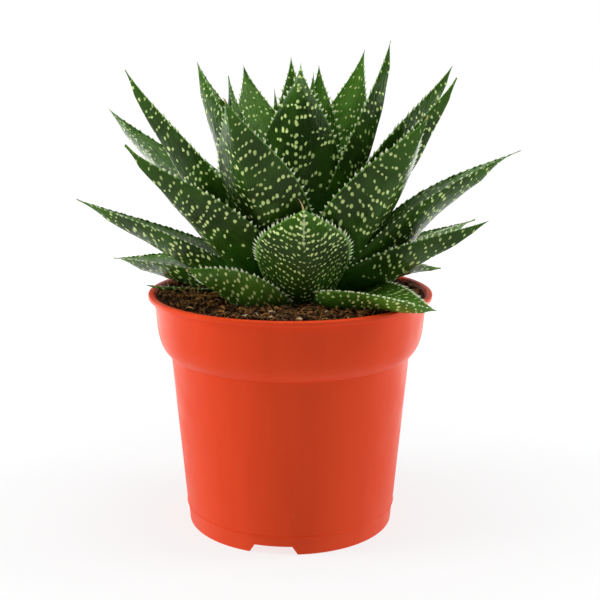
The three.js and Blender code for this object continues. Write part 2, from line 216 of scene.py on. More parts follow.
class Shader:
    """A material's node tree, with short calls that add nodes and join them."""

    def __init__(self, name):
        self.material = bpy.data.materials.new(name)
        self.material.use_nodes = True
        self.tree = self.material.node_tree
        self.skin = self.tree.nodes["Principled BSDF"]

    def join(self, value, socket):
        if isinstance(value, bpy.types.Node):
            value = value.outputs[0]
        if isinstance(value, bpy.types.NodeSocket):
            self.tree.links.new(value, socket)
        elif value is not None:
            socket.default_value = value

    def add(self, kind, inputs, **settings):
        node = self.tree.nodes.new("ShaderNode" + kind)
        for name, value in settings.items():
            setattr(node, name, value)
        for name, value in inputs.items():
            self.join(value, node.inputs[name])
        return node

    def math(self, operation, first, second=0.0):
        return self.add("Math", {0: first, 1: second}, operation=operation).outputs[0]

    def mix(self, share, first, second):
        node = self.add("Mix", {0: share, 6: first, 7: second}, data_type="RGBA")
        return node.outputs[2]

    def step(self, value, low, high, bottom=0.0, top=1.0):
        """A smooth climb from bottom to top as the value goes from low to high."""
        inputs = {0: value, 1: low, 2: high, 3: bottom, 4: top}
        return self.add("MapRange", inputs, interpolation_type="SMOOTHSTEP").outputs[0]

    def noise(self, vector, scale, detail=2.0, dimensions="3D"):
        inputs = {"Vector": vector, "Scale": scale, "Detail": detail}
        return self.add("TexNoise", inputs, noise_dimensions=dimensions).outputs[0]

    def cells(self, value, pitch):
        """Cuts a length into cells: their number, the distance from their middle, and a dice throw."""
        scaled = self.math("DIVIDE", value, pitch)
        number = self.math("FLOOR", scaled)
        middle = self.math("ADD", number, 0.5)
        distance = self.math("MULTIPLY", self.math("SUBTRACT", scaled, middle), pitch)
        return number, distance, self.add("TexWhiteNoise", {"W": number}, noise_dimensions="1D")

    def shifted(self, distance, dice, scatter):
        """A distance from a point that a dice throw has moved by up to half the scatter."""
        return self.math("SUBTRACT", distance, self.step(dice, 0.0, 1.0, -scatter / 2, scatter / 2))

    def disc(self, across, along, radius):
        """How much a point at these offsets is in a soft-edged disc."""
        offset = self.add("CombineXYZ", {0: across, 1: along})
        distance = self.add("VectorMath", {0: offset}, operation="LENGTH").outputs["Value"]
        return self.step(self.math("SUBTRACT", radius, distance), *SPOT_EDGE)

    def bump(self, height, distance, strength=1.0, under=None):
        inputs = {"Strength": strength, "Distance": distance, "Height": height, "Normal": under}
        return self.add("Bump", inputs).outputs[0]

    def finish(self, **sockets):
        for name, value in sockets.items():
            self.join(value, self.skin.inputs[name.replace("_", " ")])
        return self.material


def colour(red, green, blue):
    return (red, green, blue, 1.0)


def metres(shader):
    return shader.add("TexCoord", {}).outputs["Object"]


# How the rows of spots lie: pitch across and along the leaf, scatter across and along, radius,
# stretch along the leaf, how many are kept, how far rows climb towards the margins, where they
# start along the leaf, and how large they are at its tip.
SPOTS_OUTER = dict(
    across=1.95, along=4.6, scatter=(0.7, 2.0), radius=0.76, stretch=1.05, kept=0.86, climb=0.3, start=0.26,
    at_tip=0.75,
)
SPOTS_KEELED = dict(SPOTS_OUTER, across=1.8, kept=0.66)
SPOTS_MIDDLE = dict(
    across=1.9, along=4.0, scatter=(0.6, 1.5), radius=0.72, stretch=1.0, kept=0.9, climb=0.3, start=0.05,
    at_tip=0.75,
)
SPOTS_FINE = dict(
    across=1.75, along=2.3, scatter=(0.8, 0.9), radius=0.58, stretch=0.58, kept=0.96, climb=0.36, start=0.02,
    at_tip=1.65,
)
SPOTS_INNER = dict(
    across=2.3, along=4.0, scatter=(0.8, 2.0), radius=0.66, stretch=1.1, kept=0.74, climb=-0.2, start=0.2,
    at_tip=0.75,
)


def spot_rows(shader, spots, skin, along, share, middle):
    """Rows of round spots on a leaf: how much a point is in a spot, and the spot's own dice."""
    across = shader.add("SeparateXYZ", {0: skin}).outputs[0]
    wave = shader.math("MULTIPLY", shader.noise(skin, 0.07, 1.0, "2D"), 5.5)
    wave = shader.math("ADD", wave, shader.math("MULTIPLY", shader.noise(skin, 0.7, 1.0, "2D"), 0.9))
    climb = shader.math("MULTIPLY", middle, spots["climb"])
    row, off_along, row_dice = shader.cells(
        shader.math("SUBTRACT", shader.math("ADD", along, wave), climb), spots["along"]
    )
    slid = shader.math("ADD", across, shader.math("MULTIPLY", row_dice.outputs[0], 9.0))
    column, off_across, _ = shader.cells(slid, spots["across"])
    cell = shader.add("CombineXYZ", {0: column, 1: row})
    dice = shader.add("TexWhiteNoise", {"Vector": cell}, noise_dimensions="2D")
    dice = shader.add("SeparateColor", {0: dice.outputs["Color"]})
    off_across = shader.shifted(off_across, dice.outputs[0], spots["scatter"][0])
    off_along = shader.shifted(off_along, dice.outputs[1], spots["scatter"][1])
    off_along = shader.math("DIVIDE", off_along, spots["stretch"])
    fewest, most = spots["kept"] - 0.3, spots["kept"] + 0.3
    wanted = shader.step(shader.noise(skin, 0.12, 0.0, "2D"), 0.3, 0.7, fewest, most)
    wanted = shader.math("MULTIPLY", wanted, shader.step(share, spots["start"], spots["start"] + 0.2))
    kept = shader.math("LESS_THAN", dice.outputs[2], wanted)
    size = shader.step(dice.outputs[0], 0.0, 1.0, spots["radius"] * 1.1, spots["radius"] * 0.7)
    size = shader.math("MULTIPLY", size, shader.step(share, 0.6, 0.9, 1.0, spots["at_tip"]))
    size = shader.math("MULTIPLY", size, kept)
    return shader.disc(off_across, off_along, size), dice


def spots_on_keel(shader, spots, along, share, middle):
    """One line of spots along a leaf's keel."""
    _, off_along, dice = shader.cells(along, KEEL_SPOT_PITCH)
    off_along = shader.shifted(off_along, dice.outputs[0], KEEL_SPOT_SCATTER)
    on_keel = shader.disc(middle, off_along, spots["radius"])
    return shader.math("MULTIPLY", on_keel, shader.step(share, 0.35, 0.5))


def leaf_skin(name, spots, dark, light, pale_line=None, dry_tip=0.99, keel_spots=False, edge=0.6):
    """Waxy leaf skin: rows of pale spots, a pale margin, a plain foot and a dry tip."""
    shader = Shader(name)
    skin = shader.add("UVMap", {}, uv_map="skin").outputs[0]
    place = shader.add("SeparateXYZ", {0: shader.add("UVMap", {}, uv_map="place")})
    share, margin = place.outputs[0], place.outputs[1]
    along = shader.add("SeparateXYZ", {0: skin}).outputs[1]
    middle = shader.add("SeparateXYZ", {0: shader.add("UVMap", {}, uv_map="keel")}).outputs[0]
    spot, dice = spot_rows(shader, spots, skin, along, share, middle)
    if keel_spots:
        spot = shader.math("MAXIMUM", spot, spots_on_keel(shader, spots, along, share, middle))

    blotch = shader.noise(skin, 0.05, 3.0, "2D")
    green = shader.mix(shader.step(blotch, 0.35, 0.65), dark, light)
    foot = shader.step(share, 0.12, 0.42, 0.85, 0.0)
    green = shader.mix(foot, green, colour(0.028, 0.115, 0.01))
    tip = shader.step(share, 0.72, 0.97, 0.0, 0.55)
    green = shader.mix(tip, green, colour(0.07, 0.19, 0.018))
    pale = shader.math("MULTIPLY", spot, shader.step(dice.outputs[1], 0.0, 1.0, 0.66, 1.0))
    spotted = shader.mix(pale, green, colour(0.78, 0.98, 0.36))
    if pale_line:
        line = shader.step(middle, 0.2, 0.65, 0.85, 0.0)
        line = shader.math("MULTIPLY", line, shader.step(share, pale_line, pale_line + 0.1))
        breaks = shader.step(shader.noise(skin, 0.6, 1.0, "2D"), 0.35, 0.5)
        spotted = shader.mix(shader.math("MULTIPLY", line, breaks), spotted, colour(0.62, 0.7, 0.42))
    edged = shader.mix(shader.step(margin, 0.1, edge, 0.8, 0.0), spotted, colour(0.13, 0.3, 0.04))
    finished = shader.mix(shader.step(share, dry_tip, dry_tip + 0.01), edged, colour(0.24, 0.16, 0.06))

    pores = shader.add("TexVoronoi", {"Vector": skin, "Scale": 2.2}, voronoi_dimensions="2D")
    grain = shader.bump(pores.outputs[0], 0.00004, 0.5)
    fibres = shader.noise(shader.add("Mapping", {0: skin, 3: (1.1, 0.12, 1.0)}), 1.0, 3.0, "2D")
    furrows = shader.bump(fibres, 0.0004, 0.5, grain)
    ripple = shader.bump(shader.noise(skin, 0.16, 2.0, "2D"), 0.0009, 0.5, furrows)
    relief = shader.bump(spot, 0.00012, 0.8, ripple)
    gloss = shader.step(fibres, 0.35, 0.65, 0.24, 0.4)
    return shader.finish(
        Base_Color=finished, Roughness=gloss, Normal=relief,
        Specular_IOR_Level=LEAF_SHINE, Specular_Tint=LEAF_SHINE_TINT,
    )


def tooth_skin():
    """Horn that is green at its root and near white from there up."""
    shader = Shader("tooth_horn")
    place = shader.add("SeparateXYZ", {0: shader.add("UVMap", {}, uv_map="place")})
    rise = shader.step(place.outputs[0], -0.1, 0.45)
    horn = shader.mix(rise, colour(0.2, 0.4, 0.07), colour(0.9, 0.95, 0.7))
    return shader.finish(Base_Color=horn, Roughness=0.45)


def awn_skin():
    """A dry point: straw at its root and reddish brown at its end."""
    shader = Shader("awn_dry")
    place = shader.add("SeparateXYZ", {0: shader.add("UVMap", {}, uv_map="place")})
    rise = shader.step(place.outputs[0], 0.2, 0.8)
    dry = shader.mix(rise, colour(0.56, 0.52, 0.16), colour(0.74, 0.4, 0.27))
    return shader.finish(Base_Color=dry, Roughness=0.6)


def plastic_skin():
    """Moulded polypropylene: an even orange red with faint flow marks and light scuffs."""
    shader = Shader("pot_plastic")
    place = metres(shader)
    flow = shader.add("Mapping", {0: place, 3: (60.0, 60.0, 7.0)})
    streak = shader.noise(flow, 1.0, 3.0)
    base = shader.mix(shader.step(streak, 0.3, 0.7), colour(0.8, 0.058, 0.012), colour(0.86, 0.066, 0.015))
    dust = shader.step(shader.noise(place, 260.0, 6.0), 0.62, 0.8, 0.0, 0.12)
    tinted = shader.mix(dust, base, colour(0.8, 0.2, 0.1))
    gloss = shader.step(shader.noise(place, 90.0, 4.0), 0.3, 0.7, 0.4, 0.5)
    grain = shader.bump(shader.noise(place, 1800.0, 2.0), 0.00003, 0.4)
    wavy = shader.bump(streak, 0.0003, 0.25, grain)
    return shader.finish(
        Base_Color=tinted, Roughness=gloss, Normal=wavy,
        Specular_IOR_Level=PLASTIC_SHINE, Specular_Tint=PLASTIC_SHINE_TINT,
    )


def peat_skin(name, low, high, speck_scale, tinted):
    """Dull earth. Where it is tinted, each grain has a tint of its own."""
    shader = Shader(name)
    speck = shader.noise(metres(shader), speck_scale, 5.0)
    earth = shader.mix(shader.step(speck, 0.35, 0.7), low, high)
    if tinted:
        tint = shader.add("Attribute", {}, attribute_name="tint").outputs[0]
        blend = shader.add("Mix", {0: 1.0, 6: earth, 7: tint}, data_type="RGBA", blend_type="MULTIPLY")
        earth = blend.outputs[2]
    rough = shader.bump(speck, 0.0006, 0.9)
    return shader.finish(Base_Color=earth, Roughness=0.95, Normal=rough, Specular_IOR_Level=0.2)


def tinted_peat(name, low, high):
    return peat_skin(name, low, high, 900.0, True)


def perlite_skin():
    """Pale foamed grains, stained by the peat."""
    shader = Shader("perlite_grain")
    foam = shader.noise(metres(shader), 1500.0, 3.0)
    pale = shader.mix(shader.step(foam, 0.35, 0.65), colour(0.34, 0.21, 0.1), colour(0.74, 0.55, 0.31))
    return shader.finish(Base_Color=pale, Roughness=0.85, Normal=shader.bump(foam, 0.0003, 0.8))


def stem_skin():
    """Ringed brown bark."""
    shader = Shader("stem_bark")
    rings = shader.noise(metres(shader), 420.0, 4.0)
    bark = shader.mix(shader.step(rings, 0.3, 0.7), colour(0.16, 0.11, 0.05), colour(0.34, 0.27, 0.13))
    return shader.finish(Base_Color=bark, Roughness=0.85, Normal=shader.bump(rings, 0.0005, 0.8))


def make_piece(name, points, faces, materials, face_materials=None, maps=None, smooth=True):
    """A mesh object from millimetre points, with its materials and its UV maps by name."""
    mesh = bpy.data.meshes.new(name)
    mesh.from_pydata((np.asarray(points, float) * MM).tolist(), [], [list(f) for f in faces])
    for material in materials:
        mesh.materials.append(material)
    if face_materials is not None:
        mesh.polygons.foreach_set("material_index", np.asarray(face_materials, np.int32))
    for map_name, corners in (maps or {}).items():
        layer = mesh.uv_layers.new(name=map_name)
        layer.uv.foreach_set("vector", np.asarray(corners, np.float32).ravel())
    mesh.polygons.foreach_set("use_smooth", np.full(len(mesh.polygons), smooth))
    mesh.update()
    piece = bpy.data.objects.new(name, mesh)
    bpy.context.scene.collection.objects.link(piece)
    return piece


def unit(vectors):
    return vectors / np.linalg.norm(vectors, axis=-1, keepdims=True)


def ring_faces(first, rings, sides):
    """Faces that join rings of points, the first of which starts at the given point."""
    faces = []
    for low in range(first, first + (rings - 1) * sides, sides):
        high = low + sides
        for k in range(sides):
            following = (k + 1) % sides
            faces.append((low + k, low + following, high + following, high + k))
    return faces


class Leaf:
    """One leaf's midline, widths and section, by the same formulas as the part's source."""

    def __init__(self, row):
        azimuth, reach, height, tier, self.width, bow, self.roll, more = row
        for name, value in {**PLAIN, **more}.items():
            setattr(self, name, value)
        turn = math.radians(azimuth)
        away = np.array([math.sin(turn), -math.cos(turn), 0])
        up = np.array([0.0, 0.0, 1.0])
        axis = np.array([STEM_X, 0, CROWN_HEIGHT])
        seat_radius, seat_height = TIERS[tier]
        start = turn + math.radians(self.swing)
        seat = np.array([math.sin(start), -math.cos(start), 0]) * seat_radius
        self.foot = axis + seat + up * (seat_height - self.sunk)
        self.tip = axis + away * reach + up * height
        self.side = np.array([math.cos(turn), math.sin(turn), 0])
        square = -np.cross(self.side, unit(self.tip - self.foot))
        self.middle = (self.foot + self.tip) / 2 + square * bow + self.side * self.sway

    def frames(self, shares):
        s = np.asarray(shares, float)[:, None]
        centre = (1 - s) ** 2 * self.foot + 2 * s * (1 - s) * self.middle + s**2 * self.tip
        along = unit((1 - s) * (self.middle - self.foot) + s * (self.tip - self.middle))
        flat = unit(self.side - (along @ self.side)[:, None] * along)
        rise = np.cross(along, flat)
        roll = math.radians(self.roll) * (self.seat + (1 - self.seat) * s)
        across = flat * np.cos(roll) + rise * np.sin(roll)
        return centre, along, across, np.cross(along, across)

    def half_width(self, shares):
        s = np.asarray(shares, float)
        past = np.maximum(0, (s - self.shoulder) / (1 - self.shoulder))
        before = np.maximum(0, (self.shoulder - s) / self.shoulder)
        taper = np.maximum(0, 1 - past**2) ** self.blunt * (1 - self.point * past**3)
        return self.width / 2 * taper * (1 - FOOT_NARROWING * before**1.5)

    def thickness(self, shares):
        s = np.asarray(shares, float)
        swell = FOOT_THINNESS + (1 - FOOT_THINNESS) * np.minimum(1, s / 0.2) ** 0.8
        return np.minimum(self.thick * swell * (1 - s) ** TIP_THINNING, THICKEST * self.half_width(s))

    def slope(self, shares):
        """How steeply the blade rises from its midline to its margins."""
        return self.channel * (CHANNEL_FOOT - CHANNEL_FALL * np.asarray(shares, float))

    def surface(self, shares, spread, under):
        """Points of the upper or under face: rows are shares, columns go from margin to margin."""
        centre, _, across, up = self.frames(shares)
        half = self.half_width(shares)[:, None]
        lift = self.slope(shares)[:, None] * half * spread[None] ** 2
        if under:
            span = (np.asarray(shares, float) - KEEL_START) / (KEEL_END - KEEL_START)
            keel = KEEL * np.clip(span, 0, 1)[:, None]
            full = (1 - np.abs(spread) ** BELLY_ROUND) ** BELLY_FULL
            belly = (1 - keel) * full + keel * (1 - np.abs(spread))
            lift = lift - self.thickness(shares)[:, None] * belly
        return (
            centre[:, None]
            + across[:, None] * (half * spread[None])[..., None]
            + up[:, None] * lift[..., None]
        )


def rest_on_rim(points):
    """Lifts what would lie in the pot's rim onto it."""
    radius = np.hypot(points[:, 0], points[:, 1])
    top = POT_HEIGHT + RIM_CLEARANCE
    low = (radius > SOIL_RADIUS - 0.3) & (radius < RIM_RADIUS + 1.5) & (points[:, 2] < top)
    points[low, 2] = top
    return points


def ruffle(points, normals, seed):
    """Moves points along their normals by a smooth noise."""
    for i, point in enumerate(points):
        value = noise.noise(Vector(point) / RUFFLE_SIZE + Vector((seed * 7.3, 0, 0)))
        points[i] = point + normals[i] * value * RUFFLE_HEIGHT
    return points


def arc_from_centre(points):
    """Signed length along each row of points from its middle column."""
    steps = np.linalg.norm(np.diff(points, axis=1), axis=2)
    run = np.concatenate([np.zeros((len(points), 1)), np.cumsum(steps, axis=1)], axis=1)
    return run - run[:, points.shape[1] // 2][:, None]


def face_grid(leaf, index, shares, spread, under, alongs, first):
    """One face of a leaf as a grid: its points, and the corner values of its UV maps."""
    points = leaf.surface(shares, spread, under)
    arc = arc_from_centre(points)
    margin = np.minimum(np.abs(arc - arc[:, :1]), np.abs(arc[:, -1:] - arc))
    offset = 300.0 * index + (150.0 if under else 0.0)
    skin = np.stack([arc + offset, np.broadcast_to(alongs[:, None], arc.shape)], -1)
    place = np.stack([np.broadcast_to(np.asarray(shares)[:, None], arc.shape), margin], -1)
    keel = np.stack([np.abs(arc), np.zeros_like(arc)], -1)
    rows, columns = arc.shape
    i, k = np.meshgrid(np.arange(rows - 1), np.arange(columns - 1), indexing="ij")
    low = i * columns + k
    high = low + columns
    corners = np.stack([low, high, high + 1, low + 1], -1).reshape(-1, 4)
    if not under:
        corners = corners[:, ::-1]
    maps = (("skin", skin), ("place", place), ("keel", keel))
    values = {name: grid.reshape(-1, 2)[corners] for name, grid in maps}
    return points.reshape(-1, 3), corners + first, values


def tooth(root, out, along, up, length, base):
    """A flat horn that leans towards the leaf's tip: its points, faces and share of height."""
    points, heights = [], []
    for rise, wide, lean in TOOTH_RINGS:
        centre = root + out * (rise * length) + along * (lean * length)
        for k in range(TOOTH_SIDES):
            turn = 2 * math.pi * k / TOOTH_SIDES
            turned_out = along * math.cos(turn) + up * (TOOTH_FLATNESS * math.sin(turn))
            points.append(centre + turned_out * (base * wide))
            heights.append(rise)
    faces = [(a, d, c, b) for a, b, c, d in ring_faces(0, len(TOOTH_RINGS), TOOTH_SIDES)]
    end = len(points)
    last = end - TOOTH_SIDES
    faces += [(last + k, end, last + (k + 1) % TOOTH_SIDES) for k in range(TOOTH_SIDES)]
    points.append(root + out * length + along * (0.5 * length))
    heights.append(1.0)
    return points, faces, heights


def leaf_teeth(leaf, pitch, scale, first, draw):
    """Teeth at even steps along both margins, small at the first of them and at the tip."""
    points, faces, heights = [], [], []
    shares = np.linspace(first, TEETH_END, 80)
    margins = leaf.surface(shares, np.array([-1.0, 1.0]), False)
    for sign, margin_line in ((-1, margins[:, 0]), (1, margins[:, 1])):
        steps = np.linalg.norm(np.diff(margin_line, axis=0), axis=1)
        run = np.concatenate([[0], np.cumsum(steps)])
        count = int(run[-1] / pitch)
        for i in range(count):
            place = (i + 0.5 + draw.uniform(-TOOTH_JITTER, TOOTH_JITTER)) * run[-1] / count
            share = float(np.interp(place, run, shares))
            _, _, across, up = (value[0] for value in leaf.frames([share]))
            margin, ahead = leaf.surface([share, share + 0.01], np.array([float(sign)]), False)[:, 0]
            edge = unit(ahead - margin)
            out = across * sign + up * leaf.slope(share) * 1.4
            out = unit(out - edge * (out @ edge))
            size = min(1.0, (share - first + 0.14) / 0.22) * min(1.0, 0.35 + (1.0 - share) / 0.3)
            size *= draw.uniform(0.75, 1.15) * scale
            new_points, new_faces, new_heights = tooth(
                margin, out, edge, np.cross(out, edge), TOOTH_LENGTH * size,
                TOOTH_ROOT * min(size, pitch / 1.8),
            )
            faces += [tuple(len(points) + corner for corner in face) for face in new_faces]
            points += new_points
            heights += new_heights
    return points, faces, heights


def leaf_awn(leaf, length, draw):
    """A dry point that bends as it leaves the leaf's tip."""
    centre, along, across, up = (value[0] for value in leaf.frames([0.97]))
    side = across * draw.uniform(-0.5, -0.2)
    points, heights = [], []
    rings, sides = 6, 6
    for i in range(rings):
        t = i / (rings - 1)
        middle = centre + along * (length * 1.3 * t) + side * (length * t * t)
        radius = AWN_RADIUS * (1 - 0.85 * t)
        for k in range(sides):
            turn = 2 * math.pi * k / sides
            points.append(middle + (across * math.cos(turn) + up * math.sin(turn)) * radius)
            heights.append(t)
    end = tuple(range(len(points) - sides, len(points)))
    return points, ring_faces(0, rings, sides) + [end], heights


def blade(leaf, number, shares):
    """A leaf's upper and under faces with its foot: points, faces, face kinds and UV maps."""
    line, _, _, up = leaf.frames(shares)
    alongs = np.concatenate([[0], np.cumsum(np.linalg.norm(np.diff(line, axis=0), axis=1))])
    top_steps = np.linspace(-1, 1, TOP_POINTS)
    under_steps = np.linspace(-1, 1, UNDER_POINTS)
    top_spread = np.sin(top_steps * math.pi / 2)
    under_spread = 0.6 * np.sin(under_steps * math.pi / 2) + 0.4 * under_steps
    top = face_grid(leaf, number, shares, top_spread, False, alongs, 0)
    under = face_grid(leaf, number, shares, under_spread, True, alongs, len(top[0]))
    foot = list(range(TOP_POINTS)) + [len(top[0]) + k for k in range(UNDER_POINTS - 1, -1, -1)]
    faces = [tuple(face) for face in np.concatenate([top[1], under[1]])] + [tuple(foot)]
    kinds = [0] * len(top[1]) + [1] * (len(under[1]) + 1)
    maps = {}
    for name in ("skin", "place", "keel"):
        grids = [top[2][name].reshape(-1, 2), under[2][name].reshape(-1, 2)]
        maps[name] = np.concatenate(grids + [np.zeros((len(foot), 2))])
    normals = np.concatenate([np.repeat(up, TOP_POINTS, axis=0), -np.repeat(up, UNDER_POINTS, axis=0)])
    inside = np.concatenate([
        np.tile(1 - top_spread**2, len(shares)), np.tile(1 - under_spread**2, len(shares)),
    ])
    points = ruffle(np.concatenate([top[0], under[0]]), normals * inside[:, None], number)
    return points, faces, kinds, maps


def make_leaf(number, row, skins, draw):
    """A leaf with its teeth and, where it has one, its awn."""
    leaf = Leaf(row)
    steps = np.linspace(0, 1, STATIONS + 1)
    shares = np.minimum(1 - (1 - steps) ** TIP_CROWDING, LAST_STATION)
    points, faces, kinds, maps = blade(leaf, number, shares)
    pitch = FINE_PITCHES.get(number, TOOTH_PITCH)
    first = LATE_TEETH_STARTS.get(number, TEETH_START)
    extras = [(2, leaf_teeth(leaf, pitch, TOOTH_SIZES.get(number, 1.0), first, draw))]
    if number in AWNS:
        extras.append((3, leaf_awn(leaf, AWNS[number], draw)))
    for kind, (new_points, new_faces, heights) in extras:
        corners = [(heights[corner], 0.0) for face in new_faces for corner in face]
        maps = {name: np.concatenate([flat, corners]) for name, flat in maps.items()}
        faces += [tuple(len(points) + corner for corner in face) for face in new_faces]
        kinds += [kind] * len(new_faces)
        points = np.concatenate([points, np.array(new_points)])
    name = f"leaf_{number:02d}"
    piece = make_piece(name + "_fine", rest_on_rim(points), faces, skins, kinds, maps)
    weld = bmesh.new()
    weld.from_mesh(piece.data)
    bmesh.ops.remove_doubles(weld, verts=weld.verts, dist=1e-7)
    weld.to_mesh(piece.data)
    weld.free()
    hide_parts(name)
    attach(piece, "root")


def lathe(profile, sides):
    """A closed profile of radius and height turned round the axis: points and faces."""
    points, faces, rows = [], [], []
    for radius, height in profile:
        if radius < 1e-6:
            rows.append([len(points)] * sides)
            points.append((0, 0, height))
            continue
        rows.append(list(range(len(points), len(points) + sides)))
        for k in range(sides):
            turn = 2 * math.pi * k / sides
            points.append((radius * math.sin(turn), -radius * math.cos(turn), height))
    for low, high in zip(rows, rows[1:]):
        for k in range(sides):
            following = (k + 1) % sides
            corners = [low[k], low[following], high[following], high[k]]
            face = [c for i, c in enumerate(corners) if c not in corners[:i]]
            if len(face) > 2:
                faces.append(face)
    return points, faces


def rounded(corners, steps=5):
    """A profile whose corners, given as radius, height and rounding, are turned into short arcs."""
    profile = []
    for i, (radius, height, soft) in enumerate(corners):
        here = Vector((radius, height))
        if soft == 0 or i in (0, len(corners) - 1):
            profile.append((radius, height))
            continue
        before = Vector(corners[i - 1][:2]) - here
        after = Vector(corners[i + 1][:2]) - here
        start = here + before.normalized() * min(soft, before.length * 0.45)
        end = here + after.normalized() * min(soft, after.length * 0.45)
        for k in range(steps + 1):
            t = k / steps
            place = start * (1 - t) ** 2 + here * (2 * t * (1 - t)) + end * t * t
            profile.append((place.x, place.y))
    return profile


def cut(piece, points, faces):
    """Cuts a closed shape out of a piece."""
    tool = make_piece("cutter", points, faces, [])
    step = piece.modifiers.new("cut", "BOOLEAN")
    step.operation = "DIFFERENCE"
    step.solver = "EXACT"
    step.object = tool
    depsgraph = bpy.context.evaluated_depsgraph_get()
    mesh = bpy.data.meshes.new_from_object(piece.evaluated_get(depsgraph))
    piece.modifiers.clear()
    piece.data = mesh
    bpy.data.objects.remove(tool)


def make_pot():
    """The pot by its source's measures, with soft corners, notches in its foot and drain holes."""
    floor_top = FLOOR_HEIGHT + WALL
    bead_foot = POT_HEIGHT - BEAD_HEIGHT
    inner_foot = (COLLAR_FOOT[0] - WALL, COLLAR_FOOT[1] + WALL * 0.6)
    inner_body = (BODY_TOP[0] - WALL, BODY_TOP[1] + WALL * 0.6)
    corners = [
        (0, FLOOR_HEIGHT, 0),
        (FOOT_RADIUS - FOOT_RING_WIDTH, FLOOR_HEIGHT, 0.5),
        (FOOT_RADIUS - FOOT_RING_WIDTH, 0, 0.3),
        (FOOT_RADIUS, 0, 0.35),
        (STEP_RADIUS - STEP_DEPTH, STEP_HEIGHT - 0.2, 0.1),
        (STEP_RADIUS + 0.1, STEP_HEIGHT, 0.08),
        (STEP_RADIUS - 0.12, STEP_HEIGHT + 0.45, 0.1),
        (BODY_TOP[0], BODY_TOP[1] + 0.1, 0.1),
        (BODY_TOP[0] + 0.9, BODY_TOP[1], 0.12),
        (COLLAR_FOOT[0] - 1.6, BODY_TOP[1] + 3.2, 3),
        (COLLAR_FOOT[0] + 0.1, COLLAR_FOOT[1] + 1, 4),
        (COLLAR_TOP_RADIUS, bead_foot - 0.4, 0.3),
        (RIM_RADIUS - 0.1, bead_foot - 0.1, 0.5),
        (RIM_RADIUS, POT_HEIGHT, 0.8),
        (COLLAR_TOP_RADIUS - WALL + LIP_FLARE, POT_HEIGHT, 0.4),
        (COLLAR_TOP_RADIUS - WALL, POT_HEIGHT - LIP_FLARE_DEPTH, 0.5),
        (inner_foot[0], inner_foot[1], 3),
        (inner_body[0], inner_body[1], 2),
        (STEP_RADIUS - WALL, STEP_HEIGHT + STEP_DEPTH, 0.5),
        (FOOT_RADIUS - FOOT_RING_WIDTH, floor_top, 0.6),
        (0, floor_top, 0),
    ]
    points, faces = lathe(rounded(corners), POT_SIDES)
    pot = make_piece("pot_moulded", points, faces, [plastic_skin()])
    for azimuth in NOTCH_AZIMUTHS:
        turn = math.radians(azimuth)
        outline = (
            (-NOTCH_BOTTOM_WIDTH / 2 - 0.6, -1), (NOTCH_BOTTOM_WIDTH / 2 + 0.6, -1),
            (NOTCH_TOP_WIDTH / 2, NOTCH_HEIGHT), (-NOTCH_TOP_WIDTH / 2, NOTCH_HEIGHT),
        )
        points = []
        for depth in (FOOT_RADIUS + 3, FOOT_RADIUS - 9):
            for wide, high in outline:
                x = wide * math.cos(turn) + depth * math.sin(turn)
                y = wide * math.sin(turn) - depth * math.cos(turn)
                points.append((x, y, high))
        cut(pot, points, BLOCK_FACES)
    for i in range(DRAIN_HOLES):
        turn = 2 * math.pi * i / DRAIN_HOLES
        low, high = FLOOR_HEIGHT - 3, FLOOR_HEIGHT + 4
        points, faces = lathe([(0, low), (DRAIN_RADIUS, low), (DRAIN_RADIUS, high), (0, high)], 32)
        shift = np.array([DRAIN_CIRCLE * math.sin(turn), -DRAIN_CIRCLE * math.cos(turn), 0])
        cut(pot, np.array(points) + shift, faces)
    pot.data.polygons.foreach_set("use_smooth", np.full(len(pot.data.polygons), True))
    pot.data.set_sharp_from_angle(angle=math.radians(35))
    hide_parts("pot")
    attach(pot, "root")


def soil_top(x, y):
    """Height of the soil, domed and lumpy as in the part's source."""
    radius = math.hypot(x, y) / (COLLAR_TOP_RADIUS - WALL)
    lump = math.sin(x * 0.31 + 1) * math.cos(y * 0.27) + 0.6 * math.sin(x * 0.12 - y * 0.42)
    return SOIL_HEIGHT + SOIL_DOME * (1 - radius * radius) + SOIL_LUMP * lump


def make_soil():
    """Soil with a crumbly top, deep enough to fill the pot."""
    sides, rings = 200, 64
    wall = [
        (FOOT_RADIUS - FOOT_RING_WIDTH - 0.6, FLOOR_HEIGHT + WALL + 0.4),
        (BODY_TOP[0] - WALL - 0.4, BODY_TOP[1] + WALL * 0.6),
        (COLLAR_FOOT[0] - WALL - 0.4, COLLAR_FOOT[1] + WALL),
    ]
    top = [(SOIL_RADIUS * (1 - ring / rings), 0) for ring in range(rings + 1)]
    points, faces = lathe([(0, wall[0][1])] + wall + top, sides)
    points = np.array(points, float)
    for i in np.nonzero(points[:, 2] == 0)[0]:
        x, y, _ = points[i]
        place = Vector((x, y, 0))
        rough = noise.fractal(place / 3.2, 0.9, 2.1, 4)
        grit = noise.noise(place * 1.9)
        points[i, 2] = soil_top(x, y) + 0.7 * rough + 0.3 * grit - 0.2
    skin = peat_skin("peat", colour(0.016, 0.009, 0.004), colour(0.11, 0.06, 0.025), 700.0, False)
    soil = make_piece("soil_peat", points, faces, [skin])
    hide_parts("soil")
    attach(soil, "root")


def lump(level):
    """An icosphere's points and faces, to be made rough."""
    shape = bmesh.new()
    bmesh.ops.create_icosphere(shape, subdivisions=level, radius=1)
    points = np.array([tuple(v.co) for v in shape.verts])
    faces = [tuple(v.index for v in face.verts) for face in shape.faces]
    shape.free()
    return points, faces


def turned(draw):
    """A random rotation as a matrix."""
    axis = unit(np.array([draw.gauss(0, 1) for _ in range(3)]))
    angle = draw.uniform(0, 2 * math.pi)
    x, y, z = axis
    cross = np.array([[0, -z, y], [z, 0, -x], [-y, x, 0]])
    return np.eye(3) + math.sin(angle) * cross + (1 - math.cos(angle)) * cross @ cross


